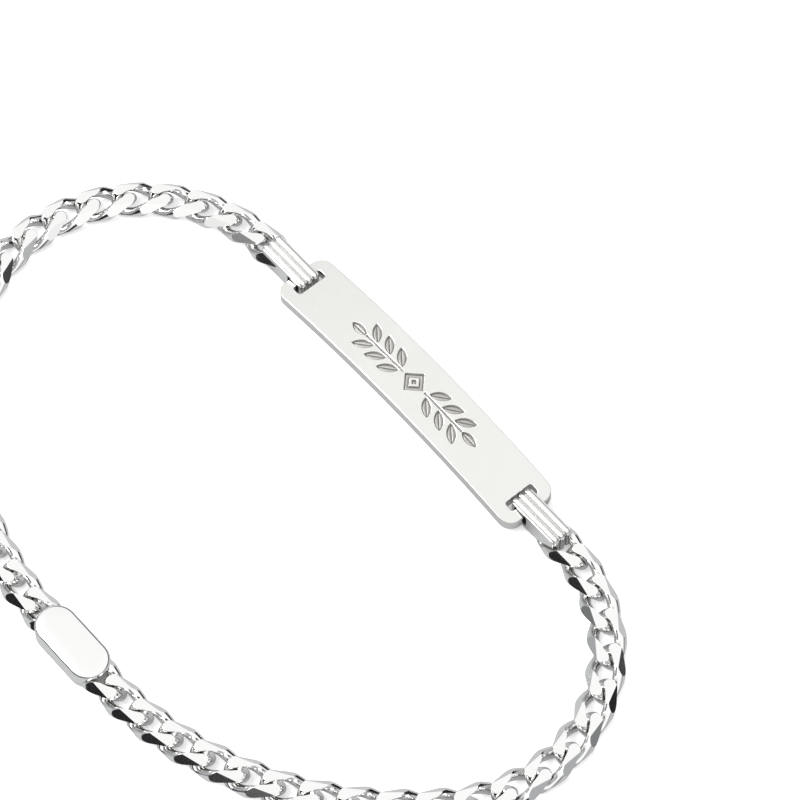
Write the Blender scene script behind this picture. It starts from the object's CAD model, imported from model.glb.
"""Silver identity bracelet: an engraved plate on two ribbed bails, a curb chain and a plain clasp."""

import math

import bmesh
import bpy
import numpy as np
from bpy.props import FloatProperty, IntProperty, PointerProperty, StringProperty
from mathutils import Matrix, Vector


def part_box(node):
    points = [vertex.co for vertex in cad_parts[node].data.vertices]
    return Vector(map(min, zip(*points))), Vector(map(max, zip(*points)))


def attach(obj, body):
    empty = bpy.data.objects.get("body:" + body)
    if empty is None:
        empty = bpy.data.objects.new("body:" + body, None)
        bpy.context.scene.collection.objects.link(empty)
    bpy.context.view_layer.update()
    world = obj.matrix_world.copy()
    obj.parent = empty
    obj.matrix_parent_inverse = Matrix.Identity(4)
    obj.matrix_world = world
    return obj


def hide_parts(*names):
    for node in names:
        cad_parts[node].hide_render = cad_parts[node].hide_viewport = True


bl_info = {
    "name": "Identity bracelet",
    "version": (1, 0, 0),
    "blender": (4, 5, 0),
    "location": "View3D > Sidebar > Bracelet",
    "description": "Builds a silver identity bracelet round its packed frame",
    "category": "Add Mesh",
}

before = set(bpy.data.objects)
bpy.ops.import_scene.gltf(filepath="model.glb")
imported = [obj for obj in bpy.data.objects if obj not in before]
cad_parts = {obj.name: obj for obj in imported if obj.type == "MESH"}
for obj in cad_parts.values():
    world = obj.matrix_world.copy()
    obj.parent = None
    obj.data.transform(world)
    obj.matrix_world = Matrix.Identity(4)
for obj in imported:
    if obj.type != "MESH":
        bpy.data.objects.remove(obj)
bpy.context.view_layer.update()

MM = 0.001
SIDES = {"right": 1, "left": -1}
# Distance from a rounded edge to the points that hold it crisp
HOLD = 0.04 * MM
# Share of the leaves' spacing before the first leaf, as in the solid
LEAF_LEAD = 0.35


def size(name, description, millimetres):
    """A length that a user may change, given in millimetres and kept in metres."""
    return FloatProperty(name=name, description=description, default=millimetres * MM,
                         precision=5, unit="LENGTH", subtype="DISTANCE")


class PlateSizes(bpy.types.PropertyGroup):
    """Sizes of the engraved plate."""

    length: size("Length", "Length of the plate along its face", 35)
    width: size("Width", "Width of the plate", 6.2)
    thickness: size("Thickness", "Thickness of the plate", 1.25)
    bend_radius: size("Bend radius", "Radius of the bend along the plate, at its underside", 100)
    corner_radius: size("Corner radius", "Radius of the plate's four corners", 1.4)
    edge_radius: size("Edge radius", "Radius that the plate's edges are polished to", 0.09)
    slot_length: size("Slot length", "Length of a slot, across the plate", 3.3)
    slot_width: size("Slot width", "Width of a slot, along the plate", 1.1)
    slot_corner: size("Slot corner", "Corner radius of a slot", 0.25)
    slot_bar: size("Slot bar", "Metal left between a slot and the end of the plate", 1.1)


class EngravingSizes(bpy.types.PropertyGroup):
    """Sizes of the sprig cut into the plate."""

    length: size("Length", "Length of the engraved sprig", 18.4)
    depth: size("Depth", "Depth of the engraving", 0.16)
    wall: size("Wall", "Width of the engraving's sloping wall", 0.07)
    outline: size("Outline", "Extra depth of the line cut round each form", 0.06)
    line: size("Line", "Half width of the line cut round each form", 0.065)
    leaf_pairs: IntProperty(name="Leaf pairs", description="Pairs of leaves on each side", default=3)
    leaf_length: size("Leaf length", "Length of a leaf", 2.3)
    leaf_width: size("Leaf width", "Width of a leaf", 0.95)
    leaf_angle: FloatProperty(name="Leaf angle", description="Lean of a leaf from the stem",
                              default=math.radians(38), subtype="ANGLE")
    stem_width: size("Stem width", "Width of the stem line", 0.22)
    lozenge: size("Lozenge", "Half diagonal of the middle lozenge", 1.35)


class BailSizes(bpy.types.PropertyGroup):
    """Sizes of the two ribbed bails."""

    width: size("Width", "Width of a bail, across the bracelet", 2.4)
    rib_width: size("Rib width", "Width of one of the three ribs", 0.55)
    rib_pitch: size("Rib pitch", "Spacing of the ribs", 0.75)
    rib_rise: size("Rib rise", "Rise of the ribs above the grooves between them", 0.18)
    thickness: size("Thickness", "Thickness of the bail round its eye, ribs included", 0.55)
    corner_radius: size("Corner radius", "Corner radius of the bail, seen from the side", 0.5)
    edge_radius: size("Edge radius", "Radius that the bail's edges are polished to", 0.06)
    eye_corner: size("Eye corner", "Corner radius of the eye that holds the plate", 0.3)
    end_clearance: size("End clearance", "Clearance from the plate's end to the eye's end", 0.35)


class ChainSizes(bpy.types.PropertyGroup):
    """Sizes of the curb chain and of its way round the loop."""

    pitch: size("Pitch", "Distance from one link to the next", 3.65)
    wire_width: size("Wire width", "Width of the wire, outwards from the link's middle", 1.2)
    wire_thickness: size("Wire thickness", "Thickness of the wire", 1.1)
    half_width: size("Half width", "Half width of a link, to the middle of its wire", 1.3)
    twist: size("Twist", "Rise and fall of the twisted wire", 0.95)
    play: size("Play", "Free play between linked wires", 0.15)
    thickness: size("Thickness", "Thickness of the chain, filed flat above and below", 1.9)
    flat_width: size("Flat width", "Width of the flat band filed along the chain", 2.3)
    tight_links: IntProperty(name="Tight links", description="Links that turn sharply first",
                             default=10)


class ClaspSizes(bpy.types.PropertyGroup):
    """Sizes of the clasp's body."""

    clearance: size("Clearance", "Clearance from the body to the links that hold it", 0.3)
    length: size("Length", "Length of the body", 9)
    width: size("Width", "Width of the body", 4.2)
    thickness: size("Thickness", "Thickness of the body", 2.2)
    edge: size("Edge", "Width of the rounded edge round the body", 0.45)


class SilverFinish(bpy.types.PropertyGroup):
    """Colours and gloss of the silver."""

    polished: StringProperty(name="Polished", description="Colour of clean silver, as sRGB hex",
                             default="#F4F4F3")
    brushed: StringProperty(name="Brushed", description="Colour of the plate's silver, as sRGB hex",
                            default="#E7E7E4")
    recess: StringProperty(name="Recess", description="Colour of silver deep in a recess",
                           default="#A9A7A4")
    cut_line: StringProperty(name="Cut line", description="Colour of the engraving's dark outline",
                             default="#6F6E6C")
    plate_roughness: FloatProperty(name="Plate roughness", description="Roughness of the plate",
                                   default=0.2, subtype="FACTOR")
    wire_roughness: FloatProperty(name="Wire roughness", description="Roughness of the chain",
                                  default=0.09, subtype="FACTOR")


class StageSettings(bpy.types.PropertyGroup):
    """Camera and light."""

    azimuth: FloatProperty(name="Azimuth", description="Camera's way round, from along +Y",
                           default=math.radians(49.6), subtype="ANGLE")
    elevation: FloatProperty(name="Elevation", description="Camera's height above the floor",
                             default=math.radians(60), subtype="ANGLE")
    distance: size("Distance", "Distance of the camera from the plate", 450)
    picture_width: size("Picture width", "Width of what the picture shows at the plate", 77.6)
    plate_right: size("Plate right", "How far right of the picture's middle the plate lies", 1.36)
    plate_up: size("Plate up", "How far above the picture's middle the plate lies", 1.07)
    floor_colour: StringProperty(name="Floor colour", description="Colour of the floor",
                                 default="#F7F7F7")
    mirrored_floor: StringProperty(name="Mirrored floor", description="Floor's colour in the silver",
                                   default="#8E8F91")


# Sizes that follow from the frame

def bail_lift():
    """Height of the bails' underside above the surface."""
    return 0.04 * MM


def plate_middle_y():
    """The plate's middle across the loop, as the frame has it."""
    low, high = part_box("id_plate")
    return (low.y + high.y) / 2


# Grids, closed outlines and meshes

def grid_faces(rows, columns, closed_rows=False, closed_columns=False):
    """Four-sided faces of a grid of points, its last row or column joined to its first on request."""
    row = np.arange(rows if closed_rows else rows - 1)
    column = np.arange(columns if closed_columns else columns - 1)
    r, c = np.meshgrid(row, column, indexing="ij")
    r2, c2 = (r + 1) % rows, (c + 1) % columns
    corners = (r * columns + c, r2 * columns + c, r2 * columns + c2, r * columns + c2)
    return np.stack(corners, axis=-1).reshape(-1, 4)


def joined(patches):
    """Patches of (points, faces) as one list of points and one of faces."""
    points = np.concatenate([patch[0].reshape(-1, 3) for patch in patches])
    faces = []
    first = 0
    for patch_points, patch_faces in patches:
        faces += [[corner + first for corner in face] for face in np.asarray(patch_faces).tolist()]
        first += patch_points.reshape(-1, 3).shape[0]
    return points, faces


def welded(points, faces, grain=1e-8):
    """Makes points in one place one point, and drops repeated corners and faces left with no area."""
    keys = np.round(points / grain).astype(np.int64)
    _, first, index = np.unique(keys, axis=0, return_index=True, return_inverse=True)
    index = index.reshape(-1).tolist()
    clean = []
    for face in faces:
        corners = list(dict.fromkeys(index[corner] for corner in face))
        if len(corners) > 2:
            clean.append(corners)
    return points[first], clean


def closed_mesh(name, points, faces):
    """A smooth-shaded mesh whose faces all point outwards."""
    mesh = bpy.data.meshes.new(name)
    mesh.from_pydata(points.tolist(), [], faces)
    work = bmesh.new()
    work.from_mesh(mesh)
    bmesh.ops.recalc_face_normals(work, faces=work.faces)
    work.to_mesh(mesh)
    work.free()
    mesh.polygons.foreach_set("use_smooth", np.ones(len(mesh.polygons), dtype=bool))
    return mesh


def new_piece(mesh, material, slot, *nodes):
    """Puts a mesh into the scene as a piece that stands for the named nodes."""
    piece = bpy.data.objects.new(mesh.name, mesh)
    bpy.context.scene.collection.objects.link(piece)
    mesh.materials.clear()
    mesh.materials.append(material)
    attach(piece, "root")
    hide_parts(*nodes)
    return piece


def combined(name, first, others, operation):
    """One mesh from a closed mesh and others joined to it or cut from it, by Boolean modifiers."""
    scene = bpy.context.scene
    body, *tools = [bpy.data.objects.new(name, mesh) for mesh in (first, *others)]
    for piece in (body, *tools):
        scene.collection.objects.link(piece)
    for tool in tools:
        step = body.modifiers.new(operation.title(), "BOOLEAN")
        step.operation = operation
        step.solver = "EXACT"
        step.object = tool
    bpy.context.view_layer.update()
    mesh = bpy.data.meshes.new_from_object(body.evaluated_get(bpy.context.evaluated_depsgraph_get()))
    for piece in (body, *tools):
        bpy.data.objects.remove(piece)
    mesh.name = name
    return mesh


def soldered(name, bodies, crease=math.radians(35)):
    """One mesh from several closed ones that run into each other, with sharp edges where they meet."""
    mesh = combined(name, bodies[0], bodies[1:], "UNION")
    mesh.set_sharp_from_angle(angle=crease)
    return mesh


# The plate

def plate_point(x, y, height, sizes):
    """A point of the plate: height is counted from the underside, along a circle bent round Y.

    z = centre + sqrt((bend radius + height)^2 - x^2), with the centre set so that the face's middle
    is as high as in the frame.
    """
    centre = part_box("id_plate")[1].z - sizes.bend_radius - sizes.thickness
    z = centre + np.sqrt((sizes.bend_radius + height) ** 2 - x ** 2)
    return np.stack(np.broadcast_arrays(x, y + plate_middle_y(), z), axis=-1)


def end_outline(half_length, half_width, radius, start_x, spacing):
    """Outline of the plate's right end, from start_x below, round both corners, to start_x above.

    Returns points and outward normals: two straight sides, two quarter circles and a straight end.
    """
    straight = half_length - radius - start_x
    side_x = np.linspace(start_x, half_length - radius, int(straight / spacing) + 2)
    turn = np.linspace(0, math.pi / 2, 17)
    across = half_width - radius
    end_y = np.linspace(-across, across, int(2 * across / spacing) + 2)
    lower = np.stack([side_x, np.full_like(side_x, -half_width)], axis=-1)
    corner = np.stack([np.sin(turn), -np.cos(turn)], axis=-1)
    lower_corner = np.array([half_length - radius, radius - half_width]) + radius * corner
    end = np.stack([np.full_like(end_y, half_length), end_y], axis=-1)
    first_half = np.concatenate([lower[:-1], lower_corner])
    first_normals = np.concatenate([np.tile([0.0, -1.0], (len(lower) - 1, 1)), corner])
    flip = np.array([1.0, -1.0])
    points = np.concatenate([first_half, end[1:-1], first_half[::-1] * flip])
    normals = np.concatenate([first_normals, np.tile([1.0, 0.0], (len(end) - 2, 1)),
                              first_normals[::-1] * flip])
    return points, normals


def rim_patch(outline, normals, edge, sizes):
    """The plate's edge: a quarter circle, an upright band and a quarter circle, round an outline.

    The outline is that of the flat faces, so the edge stands out from it by its own radius.
    """
    turn = np.linspace(0, math.pi / 2, 6)
    out = edge * np.concatenate([np.sin(turn), np.sin(turn)[::-1]])
    height = np.concatenate([sizes.thickness - edge + edge * np.cos(turn),
                             edge - edge * np.cos(turn)[::-1]])
    xy = outline[None] + out[:, None, None] * normals[None]
    points = plate_point(xy[..., 0], xy[..., 1], height[:, None], sizes)
    return points, grid_faces(*points.shape[:2], closed_columns=True)


def slot_ring(loop, slot_x, sizes, edge):
    """Points of the slot's outline nearest to the points of a loop round it, and the ways out to it.

    Each point of the outline lies at one distance, the slot's corner radius and the edge together,
    from a rectangle inside it.
    """
    reach = np.array([sizes.slot_width, sizes.slot_length]) / 2 - sizes.slot_corner
    middle = np.array([slot_x, 0.0])
    core = middle + np.clip(loop - middle, -reach, reach)
    away = loop - core
    away /= np.linalg.norm(away, axis=1)[:, None]
    return core + (sizes.slot_corner + edge) * away, away


def leaf_distance(x, y, length, width):
    """Distance outside a pointed leaf along +X, where two circles cross; less than zero inside."""
    radius = (length ** 2 + width ** 2) / (4 * width)
    lift = radius - width / 2
    return np.maximum(np.hypot(x - length / 2, y - lift), np.hypot(x - length / 2, y + lift)) - radius


def turned(x, y, angle):
    """Coordinates seen from axes turned by an angle."""
    return x * math.cos(angle) + y * math.sin(angle), y * math.cos(angle) - x * math.sin(angle)


def engraved_depth(x, y, cut):
    """Depth of the sprig below the plate's face.

    The sprig is the union of lozenges |x| + |y| < r, a stem and leaves. Across its wall the depth
    grows along a smooth step, 3 s^2 - 2 s^3. It grows further by the share exp(-(d / line)^2) at the
    distance d from the wall's foot or from a leaf's middle.
    """
    ax = np.abs(x)
    root2 = math.sqrt(2)
    diamond = ax + np.abs(y)
    ring = np.maximum(diamond - cut.lozenge, cut.lozenge / 2 - diamond) / root2
    shape = np.minimum(ring, (diamond - cut.lozenge / 4) / root2)
    vein = np.full_like(x, np.inf)
    stem_end = cut.length / 2 - cut.leaf_length + cut.stem_width
    stem = np.maximum(np.maximum(cut.lozenge + cut.stem_width - ax, ax - stem_end),
                      np.abs(y) - cut.stem_width / 2)
    shape = np.minimum(shape, stem)
    leaves = [(stem_end, 0.0, 0.0, cut.leaf_length - cut.stem_width)]
    spacing = (cut.length / 2 - cut.lozenge - cut.leaf_length) / cut.leaf_pairs
    for i in range(cut.leaf_pairs):
        start = cut.lozenge + (i + LEAF_LEAD) * spacing
        leaves += [(start, up * cut.stem_width, up * cut.leaf_angle, cut.leaf_length) for up in (-1, 1)]
    for start_x, start_y, angle, length in leaves:
        lx, ly = turned(ax - start_x, y - start_y, angle)
        leaf = leaf_distance(lx, ly, length, cut.leaf_width)
        shape = np.minimum(shape, leaf)
        vein = np.where(leaf < -cut.wall, np.minimum(vein, np.abs(ly)), vein)
    inside = np.clip(-shape / cut.wall, 0, 1)
    step = inside * inside * (3 - 2 * inside)
    line = np.exp(-((-shape - cut.wall) / cut.line) ** 2)
    middle = np.exp(-(vein / cut.line) ** 2)
    return step * (cut.depth + cut.outline * np.maximum(line, middle))


def uneven_steps(edge, fine_edge, coarse, fine):
    """Places from -edge to edge, close together within fine_edge, with one close to each end."""
    inner = np.linspace(-fine_edge, fine_edge, 2 * round(fine_edge / fine) + 1)
    outer = np.linspace(fine_edge, edge - coarse / 8, max(3, round((edge - fine_edge) / coarse)))[1:]
    outer = np.append(outer, edge)
    return np.concatenate([-outer[::-1], inner, outer])


def plate_mesh(sizes, cut):
    """The plate: a fine grid between two ends, each a ring of points from the slot to the outline."""
    # The grid is fine where the sprig is cut, and the leaves lean, so they reach less far to the side
    fine, coarse_x, coarse_y, end_spacing = 0.042 * MM, 0.3 * MM, 0.25 * MM, 0.12 * MM
    sprig_half_length = cut.length / 2 + 2 * cut.wall
    sprig_half_width = 0.84 * cut.leaf_length
    ring_reach = 1.4 * sizes.slot_width
    edge = sizes.edge_radius
    half_length = sizes.length / 2 - edge
    half_width = sizes.width / 2 - edge
    radius = sizes.corner_radius - edge
    slot_x = sizes.length / 2 - sizes.slot_bar - sizes.slot_width / 2
    start_x = slot_x - ring_reach
    columns = uneven_steps(start_x, sprig_half_length, coarse_x, fine)
    rows = uneven_steps(half_width, sprig_half_width, coarse_y, fine)

    outline, normals = end_outline(half_length, half_width, radius, start_x, end_spacing)
    border = np.stack([np.full(len(rows) - 2, start_x), rows[::-1][1:-1]], axis=-1)
    loop = np.concatenate([outline, border])
    slot_line, away = slot_ring(loop, slot_x, sizes, edge)
    share = np.array([0, 0.03, 0.15, 0.35, 0.6, 0.85, 0.97, 1])
    spread = slot_line[None] * (1 - share[:, None, None]) + loop[None] * share[:, None, None]

    patches = []
    for side in SIDES.values():
        flip = np.array([side, 1.0])
        for height in (0.0, sizes.thickness):
            xy = spread * flip
            points = plate_point(xy[..., 0], xy[..., 1], height, sizes)
            patches.append((points, grid_faces(*points.shape[:2], closed_columns=True)))
        patches.append(rim_patch(slot_line * flip, -away * flip, edge, sizes))

    x, y = np.meshgrid(columns, rows, indexing="ij")
    top = plate_point(x, y, sizes.thickness - engraved_depth(x, y, cut), sizes)
    patches.append((top, grid_faces(len(columns), len(rows))))

    # The underside needs only one face across from side to side, with all the rows at its two ends
    across = np.array([rows[0], rows[-1]])
    x, y = np.meshgrid(columns[1:-1], across, indexing="ij")
    under = plate_point(x, y, 0.0, sizes)
    patches.append((under, grid_faces(len(columns) - 2, 2)))
    for border_x, next_x in ((columns[0], columns[1]), (columns[-1], columns[-2])):
        fan_x = np.concatenate([np.full(len(rows), border_x), [next_x, next_x]])
        fan_y = np.concatenate([rows, across[::-1]])
        fan = plate_point(fan_x, fan_y, 0.0, sizes)
        patches.append((fan, [list(range(len(fan)))]))

    long_side = columns[1:-1]
    upper = np.stack([long_side[::-1], np.full(len(long_side), half_width)], axis=-1)
    lower = np.stack([long_side, np.full(len(long_side), -half_width)], axis=-1)
    mirror = np.array([-1.0, 1.0])
    whole = np.concatenate([outline, upper, outline[::-1] * mirror, lower])
    up = np.tile([0.0, 1.0], (len(long_side), 1))
    whole_normals = np.concatenate([normals, up, normals[::-1] * mirror, -up])
    patches.append(rim_patch(whole, whole_normals, edge, sizes))
    return closed_mesh("id_plate_silver", *welded(*joined(patches)))


def mark_engraving(mesh, cut):
    """Keeps on each point its share of the engraving's depth: 0 on the face, over 1 in a line."""
    places = np.empty(len(mesh.vertices) * 3)
    mesh.vertices.foreach_get("co", places)
    places = places.reshape(-1, 3)
    depth = engraved_depth(places[:, 0], places[:, 1] - plate_middle_y(), cut) / cut.depth
    # Lower than the sprig reaches on the bent face, and still above the underside
    upper = places[:, 2] > places[:, 2].max() - cut.depth * 6
    mesh.attributes.new("engraved", "FLOAT", "POINT").data.foreach_set(
        "value", np.where(upper, depth, 0.0).astype(np.float32))


# The chain

def link_reach(chain):
    """Half the length of a link, to the middle of its wire."""
    return (chain.pitch + chain.wire_width + chain.play) / 2


def wire_mesh(chain, along=150, around=36):
    """The unfiled wire of one curb link, its middle on the origin.

    The wire's middle line is (a cos t, b sin t, -c sin 2t), and its oval section stands square to
    the line.
    """
    a, b, c = link_reach(chain), chain.half_width, chain.twist
    t = np.linspace(0, 2 * math.pi, along, endpoint=False)
    q = np.linspace(0, 2 * math.pi, around, endpoint=False)
    middle = np.stack([a * np.cos(t), b * np.sin(t), -c * np.sin(2 * t)], axis=-1)
    forward = np.stack([-a * np.sin(t), b * np.cos(t), -2 * c * np.cos(2 * t)], axis=-1)
    forward /= np.linalg.norm(forward, axis=1)[:, None]
    out = np.stack([forward[:, 1], -forward[:, 0], np.zeros_like(t)], axis=-1)
    out /= np.linalg.norm(out, axis=1)[:, None]
    side = np.cross(forward, out)
    points = (middle[:, None]
              + chain.wire_width / 2 * np.cos(q)[None, :, None] * out[:, None]
              + chain.wire_thickness / 2 * np.sin(q)[None, :, None] * side[:, None])
    faces = grid_faces(along, around, closed_rows=True, closed_columns=True)
    return closed_mesh("wire", points.reshape(-1, 3), faces.tolist())


def filed_link(chain):
    """One curb link, its middle over the origin: its wire cut by the chain's filed section.

    The section is a flat band above and below, and four flats at 45 degrees beside them. The filed
    flats are shaded flat and the wire smooth, so that the edges between them stay crisp.
    """
    half = chain.thickness / 2
    near = chain.flat_width / 2
    far = near + half
    corners = [(near, half), (far, 0), (near, -half), (-near, -half), (-far, 0), (-near, half)]
    ends = (-2 * chain.pitch, 2 * chain.pitch)
    points = np.array([(x, y, z) for x in ends for y, z in corners])
    sides = [[i, (i + 1) % 6, 6 + (i + 1) % 6, 6 + i] for i in range(6)]
    bar = closed_mesh("bar", points, [list(range(6)), list(range(6, 12)), *sides])
    filed = combined("filed_link", wire_mesh(chain), [bar], "INTERSECT")
    lean = math.sqrt(0.5)
    grain, aligned = 0.001 * MM, 0.9999
    flats = [(Vector((0, y * lean, z * lean)), far * lean) for y in (-1, 1) for z in (-1, 1)]
    flats += [(Vector((0, 0, z)), half) for z in (-1, 1)]
    for face in filed.polygons:
        on_flat = any(face.normal.dot(normal) > aligned
                      and abs(face.center.dot(normal) - reach) < grain for normal, reach in flats)
        face.use_smooth = not on_flat
    filed.transform(Matrix.Translation((0, 0, half)))
    return filed


def placed(mesh, name, x, y, heading):
    """A copy of a mesh turned round Z by the heading and moved to (x, y)."""
    copy = mesh.copy()
    copy.name = name
    copy.transform(Matrix.Translation((x, y, 0)) @ Matrix.Rotation(heading, 4, "Z"))
    return copy


def route(steps, start_x, end_x, pitch, tight_links):
    """Places and headings along one side of the loop, from the bail's own link to the clasp's.

    Each of the first links turns by one angle and each later one by another, so that all together
    make half a turn, and the first angle is found by halving its range until the last link lies at
    end_x.
    """
    low, high = math.pi / steps, math.pi / tight_links
    for _ in range(40):
        sharp = (low + high) / 2
        gentle = (math.pi - tight_links * sharp) / (steps - tight_links)
        turns = np.where(np.arange(steps) < tight_links, sharp, gentle)
        heading = np.concatenate([[0], np.cumsum(turns)])
        stride = (np.exp(1j * heading[:-1]) + np.exp(1j * heading[1:])) * pitch / 2
        place = start_x + np.concatenate([[0], np.cumsum(stride)])
        if place[-1].real > end_x:
            low = sharp
        else:
            high = sharp
    return place.real, place.imag, heading


# The bails

def rounded_line(x_low, x_high, z_low, z_high, radius):
    """Points and outward normals round a rounded rectangle, each corner held at both its ends."""
    turn = np.linspace(0, math.pi / 2, 9)
    quarter = np.stack([np.cos(turn), np.sin(turn)], axis=-1)
    points, normals = [], []
    for x, z, sign_x, sign_z, order in ((x_high, z_high, 1, 1, 1), (x_low, z_high, -1, 1, -1),
                                        (x_low, z_low, -1, -1, 1), (x_high, z_low, 1, -1, -1)):
        arc = quarter[::order] * np.array([sign_x, sign_z])
        centre = np.array([x, z]) - radius * np.array([sign_x, sign_z])
        along = np.stack([-arc[:, 1], arc[:, 0]], axis=-1)
        points += [centre + radius * arc[0] - HOLD * along[0], *(centre + radius * arc),
                   centre + radius * arc[-1] + HOLD * along[-1]]
        normals += [arc[0], *arc, arc[-1]]
    return np.array(points), np.array(normals)


def bail_mesh(bails, outer_box, eye_box, side):
    """A ribbed block with an eye through it: a section carried along two rounded rectangles in X and Z.

    The section runs over the ribs, down one side face to the eye, through the eye and up the other
    side face. A rib is half an oval: at the angle a from its middle it lies at y = width / 2 * sin a,
    and it has fallen away from the outline by rise * (1 - cos a).
    """
    outer_line, outer_out = rounded_line(*outer_box, bails.corner_radius)
    eye_line, eye_out = rounded_line(*eye_box, bails.eye_corner)

    half_width = bails.width / 2
    edge = bails.edge_radius
    swing = np.linspace(-math.pi / 2, math.pi / 2, 25)
    rib = [bails.rib_pitch * row + bails.rib_width / 2 * np.sin(swing) for row in (-1, 0, 1)]
    groove = bails.rib_pitch / 2
    shoulder = half_width - edge
    y = np.concatenate([[-shoulder], rib[0], [-groove], rib[1], [groove], rib[2], [shoulder]])
    fallen = bails.rib_rise * (1 - np.cos(swing))
    floor = [bails.rib_rise]
    drop = np.concatenate([floor, fallen, floor, fallen, floor, fallen, floor])
    bend = np.linspace(0, math.pi / 2, 5)
    # One side face: a rounded edge, two holding points, and a rounded edge into the eye
    side_y = shoulder + edge * np.concatenate([np.sin(bend)[1:], [1, 1], np.cos(bend)])
    side_drop = np.concatenate([bails.rib_rise + edge * (1 - np.cos(bend))[1:],
                                [bails.rib_rise + edge + HOLD, -edge - HOLD],
                                -edge * (1 - np.sin(bend))])
    on_eye = np.arange(len(side_y)) >= len(bend)
    section_y = np.concatenate([y, side_y, -side_y[::-1]])
    section_drop = np.concatenate([drop, side_drop, side_drop[::-1]])
    inside = np.concatenate([np.zeros(len(y), dtype=bool), on_eye, on_eye[::-1]])[None, :, None]
    fall = section_drop[None, :, None]
    spot = np.where(inside, eye_line[:, None] - fall * eye_out[:, None],
                    outer_line[:, None] - fall * outer_out[:, None])
    points = np.stack(np.broadcast_arrays(side * spot[..., 0], section_y[None] + plate_middle_y(),
                                          spot[..., 1]), axis=-1)
    faces = grid_faces(*points.shape[:2], closed_rows=True, closed_columns=True)
    return closed_mesh("bail_block", *welded(points.reshape(-1, 3), faces.tolist()))


# The clasp

def clasp_mesh(clasp, middle_y):
    """The clasp's body: rings of one long outline with round ends, drawn in towards its middle line.

    The top is a low crown: at the distance r from the middle line it falls by crown * (r / radius)^4.
    """
    radius = clasp.width / 2
    reach = clasp.length / 2 - radius
    bend = np.linspace(-math.pi / 2, math.pi / 2, 33)
    straight = np.linspace(-reach, reach, 17)[1:-1]
    right = np.stack([reach + radius * np.cos(bend), radius * np.sin(bend)], axis=-1)
    upper = np.stack([straight[::-1], np.full(len(straight), radius)], axis=-1)
    outline = np.concatenate([right, upper, -right, -upper])
    middle = np.stack([np.clip(outline[:, 0], -reach, reach), np.zeros(len(outline))], axis=-1)
    away = (outline - middle) / radius

    crown = 0.12 * MM
    edge = clasp.edge
    face = np.array([0, 0.15, 0.3, 0.45, 0.6, 0.75, 0.9, 1]) * (radius - edge)
    arc = np.linspace(0, math.pi / 2, 9)[1:]
    top_r = np.concatenate([face, radius - edge + edge * np.sin(arc)])
    top_z = np.concatenate([clasp.thickness - crown * (face / radius) ** 4,
                            clasp.thickness - crown * ((radius - edge) / radius) ** 4
                            - edge * (1 - np.cos(arc))])
    low_edge = edge / 2
    low_face = np.array([1, 0.75, 0.5, 0.25, 0]) * (radius - low_edge)
    low_r = np.concatenate([radius - low_edge + low_edge * np.sin(arc[::-1]), low_face])
    low_z = np.concatenate([low_edge * (1 - np.cos(arc[::-1])), np.zeros(len(low_face))])
    ring_r = np.concatenate([top_r, low_r])
    ring_z = np.concatenate([top_z, low_z])
    xy = middle[None] + ring_r[:, None, None] * away[None]
    points = np.stack(np.broadcast_arrays(xy[..., 0], xy[..., 1] + middle_y, ring_z[:, None]), axis=-1)
    faces = grid_faces(*points.shape[:2], closed_columns=True)
    return closed_mesh("clasp_body", *welded(points.reshape(-1, 3), faces.tolist()))


# Materials

def linear(code):
    """An sRGB hex colour as linear red, green, blue and alpha."""
    channels = [int(code[i:i + 2], 16) / 255 for i in (1, 3, 5)]
    return (*(c / 12.92 if c <= 0.04045 else ((c + 0.055) / 1.055) ** 2.4 for c in channels), 1.0)


def add_node(tree, kind, settings=None, **inputs):
    """Adds a node, sets its own settings, and sets or links its inputs.

    An input goes by its name, with _ for a space, or by its number, as i0.
    """
    node = tree.nodes.new(kind)
    for key, value in (settings or {}).items():
        setattr(node, key, value)
    for key, value in inputs.items():
        numbered = key[0] == "i" and key[1:].isdigit()
        socket = node.inputs[int(key[1:]) if numbered else key.replace("_", " ")]
        if isinstance(value, bpy.types.NodeSocket):
            tree.links.new(value, socket)
        else:
            socket.default_value = value
    return node


def new_material(name):
    """An empty material, its node tree and its output node."""
    material = bpy.data.materials.new(name)
    material.use_nodes = True
    tree = material.node_tree
    tree.nodes.clear()
    return material, tree, add_node(tree, "ShaderNodeOutputMaterial")


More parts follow.
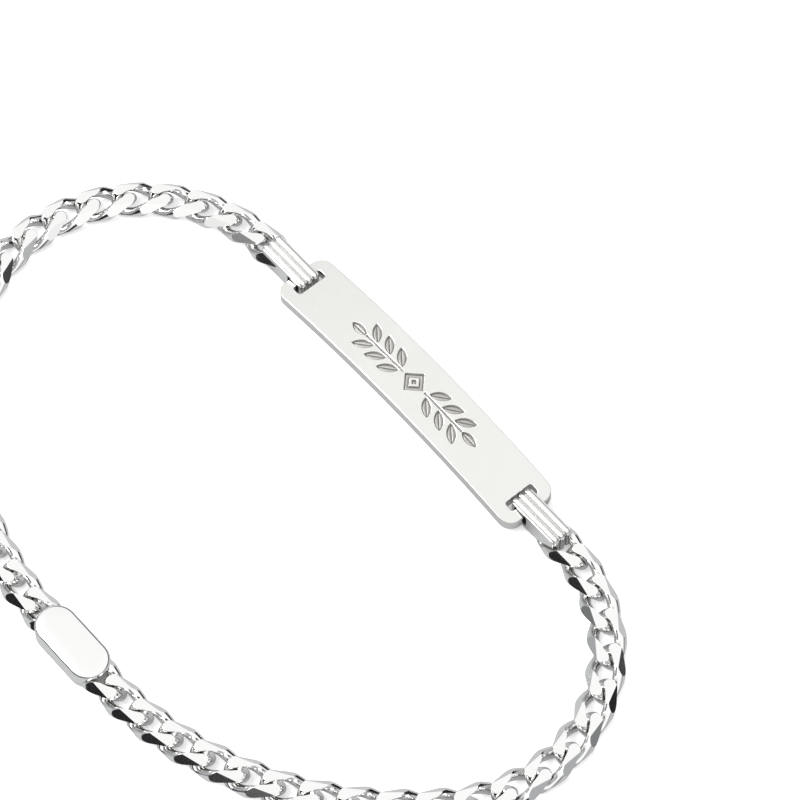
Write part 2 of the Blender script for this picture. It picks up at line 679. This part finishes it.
def silver(name, finish, tone, roughness, hair_length, hair_width, recess_reach, openness=(0.25, 0.8)):
    """Sterling silver, polished: nearly white, with the mop's hairlines and a greyer film in recesses.

    Hairlines are noise drawn out along X, a few hundredths of a millimetre wide, drawn coarser than
    real so that they show. They stir the roughness and barely the surface. The film is whole where
    the share of open sky within the recess reach is below the first openness, and gone above the
    second.
    """
    clouds = 0.35 / MM
    material, tree, output = new_material(name)
    place = add_node(tree, "ShaderNodeTexCoord").outputs["Object"]
    drawn = add_node(tree, "ShaderNodeMapping", Vector=place,
                     Scale=(1 / hair_length, 1 / hair_width, 1 / hair_width))
    hair = add_node(tree, "ShaderNodeTexNoise", Vector=drawn.outputs[0], Scale=1.0, Detail=3.0)
    cloud = add_node(tree, "ShaderNodeTexNoise", Vector=place, Scale=clouds, Detail=2.0)
    gloss = add_node(tree, "ShaderNodeMapRange", Value=hair.outputs["Fac"],
                     From_Min=0.35, From_Max=0.65, To_Min=roughness * 0.85, To_Max=roughness * 1.2)
    soft = add_node(tree, "ShaderNodeMath", {"operation": "MULTIPLY_ADD"},
                    i0=cloud.outputs["Fac"], i1=roughness * 0.3, i2=gloss.outputs[0])
    recess = add_node(tree, "ShaderNodeAmbientOcclusion", {"samples": 8}, Distance=recess_reach)
    film = add_node(tree, "ShaderNodeMapRange", Value=recess.outputs["AO"],
                    From_Min=openness[0], From_Max=openness[1])
    colour = add_node(tree, "ShaderNodeMix", {"data_type": "RGBA"}, Factor=film.outputs[0],
                      i6=linear(finish.recess), i7=linear(tone))
    bump = add_node(tree, "ShaderNodeBump", Height=hair.outputs["Fac"], Strength=0.1,
                    Distance=0.004 * MM)
    shader = add_node(tree, "ShaderNodeBsdfPrincipled", Base_Color=colour.outputs[2], Metallic=1.0,
                      Roughness=soft.outputs[0], Normal=bump.outputs[0])
    tree.links.new(shader.outputs[0], output.inputs[0])
    return material, tree, shader


def engraved_silver(name, finish, roughness):
    """Polished silver whose engraving is left satin by the graver, and dark in its lines.

    The mark is the share of the engraving's depth. The dark begins at 1.1 and is whole at 1.3.
    """
    satin = 0.5
    material, tree, shader = silver(name, finish, finish.brushed, roughness, hair_length=3 * MM,
                                    hair_width=0.05 * MM, recess_reach=0.4 * MM)
    mark = add_node(tree, "ShaderNodeAttribute", {"attribute_name": "engraved"}).outputs["Fac"]
    polish = shader.inputs["Roughness"].links[0].from_socket
    face = shader.inputs["Base Color"].links[0].from_socket
    rough = add_node(tree, "ShaderNodeMix", {"data_type": "FLOAT"}, Factor=mark, i2=polish, i3=satin)
    tint = add_node(tree, "ShaderNodeMix", {"data_type": "RGBA"}, Factor=mark, i6=face,
                    i7=linear(finish.recess))
    line = add_node(tree, "ShaderNodeMapRange", Value=mark, From_Min=1.1, From_Max=1.3)
    dark = add_node(tree, "ShaderNodeMix", {"data_type": "RGBA"}, Factor=line.outputs[0],
                    i6=tint.outputs[2], i7=linear(finish.cut_line))
    tree.links.new(rough.outputs[0], shader.inputs["Roughness"])
    tree.links.new(dark.outputs[2], shader.inputs["Base Color"])
    return material


def light_table(name, colour, mirrored):
    """Milky glass with no gloss, lit from below so that it shows white.

    Silver mirrors it darker, as it does a table that lies in the tent's shade, and sees half as much
    of its glow.
    """
    material, tree, output = new_material(name)
    rays = add_node(tree, "ShaderNodeLightPath")
    tone = add_node(tree, "ShaderNodeMix", {"data_type": "RGBA"}, Factor=rays.outputs["Is Glossy Ray"],
                    i6=linear(colour), i7=linear(mirrored))
    mirror = add_node(tree, "ShaderNodeMath", {"operation": "MULTIPLY"},
                      i0=rays.outputs["Is Glossy Ray"], i1=0.2)
    glow = add_node(tree, "ShaderNodeMath", {"operation": "MULTIPLY_ADD"},
                    i0=rays.outputs["Is Camera Ray"], i1=0.4, i2=mirror.outputs[0])
    shader = add_node(tree, "ShaderNodeBsdfPrincipled", Base_Color=tone.outputs[2], Roughness=1.0,
                      Emission_Color=linear(colour), Emission_Strength=glow.outputs[0])
    shader.inputs["Specular IOR Level"].default_value = 0.0
    tree.links.new(shader.outputs[0], output.inputs[0])
    return material


# Operators

class MakePlate(bpy.types.Operator):
    """Makes the bent plate with its two slots and the engraved sprig"""

    bl_idname = "bracelet.make_plate"
    bl_label = "Plate"

    def execute(self, context):
        scene = context.scene
        mesh = plate_mesh(scene.bracelet_plate, scene.bracelet_engraving)
        mark_engraving(mesh, scene.bracelet_engraving)
        finish = scene.bracelet_finish
        material = engraved_silver("Sterling silver, polished and engraved", finish,
                                   finish.plate_roughness)
        new_piece(mesh, material, "plate", "id_plate")
        return {"FINISHED"}


class MakeBails(bpy.types.Operator):
    """Makes the two ribbed bails, each with the chain's first link soldered in"""

    bl_idname = "bracelet.make_bails"
    bl_label = "Bails"

    def execute(self, context):
        scene = context.scene
        plate, bails, chain = scene.bracelet_plate, scene.bracelet_bails, scene.bracelet_chain
        finish = scene.bracelet_finish
        material, _, _ = silver("Sterling silver, polished bail", finish, finish.polished,
                                finish.wire_roughness, hair_length=2 * MM, hair_width=0.05 * MM,
                                recess_reach=0.3 * MM, openness=(0.62, 1.0))
        x_inner = plate.length / 2 - plate.slot_bar - (plate.slot_width + bails.thickness) / 2
        x_outer = bail_outer_x(context)
        z_low, z_high = bail_lift(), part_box("bail_right")[1].z
        wall = bails.thickness
        eye_box = (x_inner + wall, plate.length / 2 + bails.end_clearance, z_low + wall, z_high - wall)
        link = filed_link(chain)
        for name, side in SIDES.items():
            block = bail_mesh(bails, (x_inner, x_outer, z_low, z_high), eye_box, side)
            own_link = placed(link, "bail_link", side * x_outer, plate_middle_y(), 0)
            mesh = soldered(f"bail_{name}_silver", [block, own_link])
            new_piece(mesh, material, "bails", f"bail_{name}")
        return {"FINISHED"}


def bail_outer_x(context):
    """Middle of the link that a bail holds, which is also the bail's outer end."""
    chain = context.scene.bracelet_chain
    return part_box("bail_right")[1].x - (link_reach(chain) + chain.wire_width / 2)


def clasp_link_x(context):
    """Middle of a link that is soldered into the clasp."""
    chain, clasp = context.scene.bracelet_chain, context.scene.bracelet_clasp
    half_link = link_reach(chain) + chain.wire_width / 2
    return clasp.length / 2 + clasp.clearance + half_link - chain.pitch


class MakeChain(bpy.types.Operator):
    """Makes every link of the curb chain at its own place round the loop"""

    bl_idname = "bracelet.make_chain"
    bl_label = "Chain"

    def execute(self, context):
        scene = context.scene
        chain, finish = scene.bracelet_chain, scene.bracelet_finish
        material, _, _ = silver("Sterling silver, filed and polished wire", finish, finish.polished,
                                finish.wire_roughness, hair_length=0.8 * MM, hair_width=0.06 * MM,
                                recess_reach=0.4 * MM)
        count = sum(name.startswith("link_right_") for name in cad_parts)
        x, y, heading = route(count + 1, bail_outer_x(context), clasp_link_x(context),
                              chain.pitch, chain.tight_links)
        link = filed_link(chain)
        most_off = 0.1 * MM
        for name, side in SIDES.items():
            for i in range(1, count + 1):
                node = f"link_{name}_{i:02d}"
                mesh = placed(link, f"{node}_silver", side * x[i], plate_middle_y() - y[i],
                              -side * heading[i])
                places = np.array([point.co for point in mesh.vertices])
                low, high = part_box(node)
                off = np.abs((places.min(0) + places.max(0)) / 2 - np.array((low + high) / 2)).max()
                if off > most_off:
                    raise ValueError(f"{node} lies {off / MM:.2f} mm from its place in the frame")
                new_piece(mesh, material, "chain", node)
        return {"FINISHED"}


class MakeClasp(bpy.types.Operator):
    """Makes the plain clasp with a link soldered in at each end"""

    bl_idname = "bracelet.make_clasp"
    bl_label = "Clasp"

    def execute(self, context):
        scene = context.scene
        chain, finish = scene.bracelet_chain, scene.bracelet_finish
        low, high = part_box("clasp")
        middle_y = low.y + scene.bracelet_clasp.width / 2
        link = filed_link(chain)
        bodies = [clasp_mesh(scene.bracelet_clasp, middle_y)]
        bodies += [placed(link, "clasp_link", side * clasp_link_x(context), middle_y, 0)
                   for side in SIDES.values()]
        material, _, _ = silver("Sterling silver, polished body", finish, finish.polished,
                                finish.wire_roughness, hair_length=2 * MM, hair_width=0.06 * MM,
                                recess_reach=0.5 * MM)
        new_piece(soldered("clasp_silver", bodies), material, "clasp", "clasp")
        return {"FINISHED"}


def picture_axes(azimuth, elevation):
    """Right, up and back directions of a level camera that looks at the bracelet."""
    back = Vector((math.sin(azimuth) * math.cos(elevation), -math.cos(azimuth) * math.cos(elevation),
                   math.sin(elevation)))
    right = Vector((math.cos(azimuth), math.sin(azimuth), 0))
    return right, back.cross(right), back


def studio_world():
    """A white tent over the table, dark near the horizon in front and behind, grey there at the sides.

    Its brightness goes by the direction's height z, from dark or grey below 0.38 to white above 0.48.
    Near the horizon it is grey where |y| is less than 0.45 and dark where it is more than 0.75. It all
    falls off a little towards -X, so that the bent plate is shaded from end to end.
    """
    world = bpy.data.worlds.new("Light tent")
    world.use_nodes = True
    tree = world.node_tree
    tree.nodes.clear()
    direction = add_node(tree, "ShaderNodeTexCoord").outputs["Generated"]
    way = add_node(tree, "ShaderNodeSeparateXYZ", Vector=direction).outputs
    rise = add_node(tree, "ShaderNodeMapRange", Value=way["Z"], From_Min=0.38, From_Max=0.48)
    across = add_node(tree, "ShaderNodeMath", {"operation": "ABSOLUTE"}, i0=way["Y"])
    card = add_node(tree, "ShaderNodeMapRange", Value=across.outputs[0], From_Min=0.75, From_Max=0.45)
    low = add_node(tree, "ShaderNodeMix", {"data_type": "RGBA"}, Factor=card.outputs[0],
                   i6=(0.015, 0.015, 0.017, 1), i7=(0.42, 0.43, 0.44, 1))
    tone = add_node(tree, "ShaderNodeMix", {"data_type": "RGBA"}, Factor=rise.outputs[0],
                    i6=low.outputs[2], i7=(1.05, 1.05, 1.05, 1))
    fall = add_node(tree, "ShaderNodeMapRange", Value=way["X"], From_Min=-0.62, From_Max=-0.11,
                    To_Min=0.95, To_Max=1.04)
    tent = add_node(tree, "ShaderNodeBackground", Color=tone.outputs[2], Strength=fall.outputs[0])
    backdrop = add_node(tree, "ShaderNodeBackground", Color=(1, 1, 1, 1), Strength=1.0)
    seen = add_node(tree, "ShaderNodeLightPath").outputs["Is Camera Ray"]
    both = add_node(tree, "ShaderNodeMixShader", i0=seen, i1=tent.outputs[0], i2=backdrop.outputs[0])
    output = add_node(tree, "ShaderNodeOutputWorld")
    tree.links.new(both.outputs[0], output.inputs[0])
    return world


def soft_box(name, direction, distance, width, power, target):
    """A square soft box that faces the target from a direction."""
    light = bpy.data.lights.new(name, "AREA")
    light.shape = "SQUARE"
    light.size = width
    light.energy = power
    lamp = bpy.data.objects.new(name, light)
    bpy.context.scene.collection.objects.link(lamp)
    way = Vector(direction).normalized()
    lamp.location = target + way * distance
    lamp.rotation_mode = "QUATERNION"
    lamp.rotation_quaternion = way.to_track_quat("Z", "Y")
    return lamp


class MakeStage(bpy.types.Operator):
    """Makes the floor, the light tent, the soft box and the camera"""

    bl_idname = "bracelet.make_stage"
    bl_label = "Stage"

    def execute(self, context):
        scene = context.scene
        stage = scene.bracelet_stage
        reach = 1.5
        mesh = bpy.data.meshes.new("floor")
        corners = [(-reach, -reach, 0), (reach, -reach, 0), (reach, reach, 0), (-reach, reach, 0)]
        mesh.from_pydata(corners, [], [(0, 1, 2, 3)])
        mesh.materials.append(light_table("Light table, milky glass", stage.floor_colour,
                                          stage.mirrored_floor))
        floor = bpy.data.objects.new("floor", mesh)
        scene.collection.objects.link(floor)

        scene.world = studio_world()
        low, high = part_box("id_plate")
        plate = (low + high) / 2
        soft_box("Key soft box", direction=(-0.55, -0.45, 0.8), distance=0.6, width=0.5, power=4.0,
                 target=plate)

        right, up, back = picture_axes(stage.azimuth, stage.elevation)
        camera = bpy.data.cameras.new("Camera")
        camera.sensor_width = 36.0
        camera.lens = camera.sensor_width * stage.distance / stage.picture_width
        camera.clip_start, camera.clip_end = 0.01, 10.0
        eye = bpy.data.objects.new("Camera", camera)
        scene.collection.objects.link(eye)
        aim = plate - right * stage.plate_right - up * stage.plate_up
        turn = Matrix((right, up, back)).transposed().to_4x4()
        eye.matrix_world = Matrix.Translation(aim + back * stage.distance) @ turn
        scene.camera = eye
        scene.view_settings.view_transform = "Standard"
        return {"FINISHED"}


class BraceletPanel(bpy.types.Panel):
    """Lists the pieces of the bracelet and their sizes"""

    bl_idname = "VIEW3D_PT_bracelet"
    bl_label = "Identity bracelet"
    bl_space_type = "VIEW_3D"
    bl_region_type = "UI"
    bl_category = "Bracelet"

    def draw(self, context):
        layout = self.layout
        for operator in OPERATORS:
            layout.operator(operator.bl_idname)
        for name, group in GROUPS.items():
            box = layout.box()
            box.label(text=group.__doc__)
            for key in group.__annotations__:
                box.prop(getattr(context.scene, name), key)


GROUPS = {
    "bracelet_plate": PlateSizes,
    "bracelet_engraving": EngravingSizes,
    "bracelet_bails": BailSizes,
    "bracelet_chain": ChainSizes,
    "bracelet_clasp": ClaspSizes,
    "bracelet_finish": SilverFinish,
    "bracelet_stage": StageSettings,
}
OPERATORS = (MakePlate, MakeBails, MakeChain, MakeClasp, MakeStage)


def register():
    for kind in (*GROUPS.values(), *OPERATORS, BraceletPanel):
        bpy.utils.register_class(kind)
    for name, group in GROUPS.items():
        setattr(bpy.types.Scene, name, PointerProperty(type=group))


def unregister():
    for name in GROUPS:
        delattr(bpy.types.Scene, name)
    for kind in reversed((*GROUPS.values(), *OPERATORS, BraceletPanel)):
        bpy.utils.unregister_class(kind)


def main():
    """Makes every piece, and writes the frame's box and the finished object's box."""
    register()
    bpy.ops.bracelet.make_plate()
    bpy.ops.bracelet.make_bails()
    bpy.ops.bracelet.make_chain()
    bpy.ops.bracelet.make_clasp()
    bpy.ops.bracelet.make_stage()


if __name__ == "__main__":
    main()
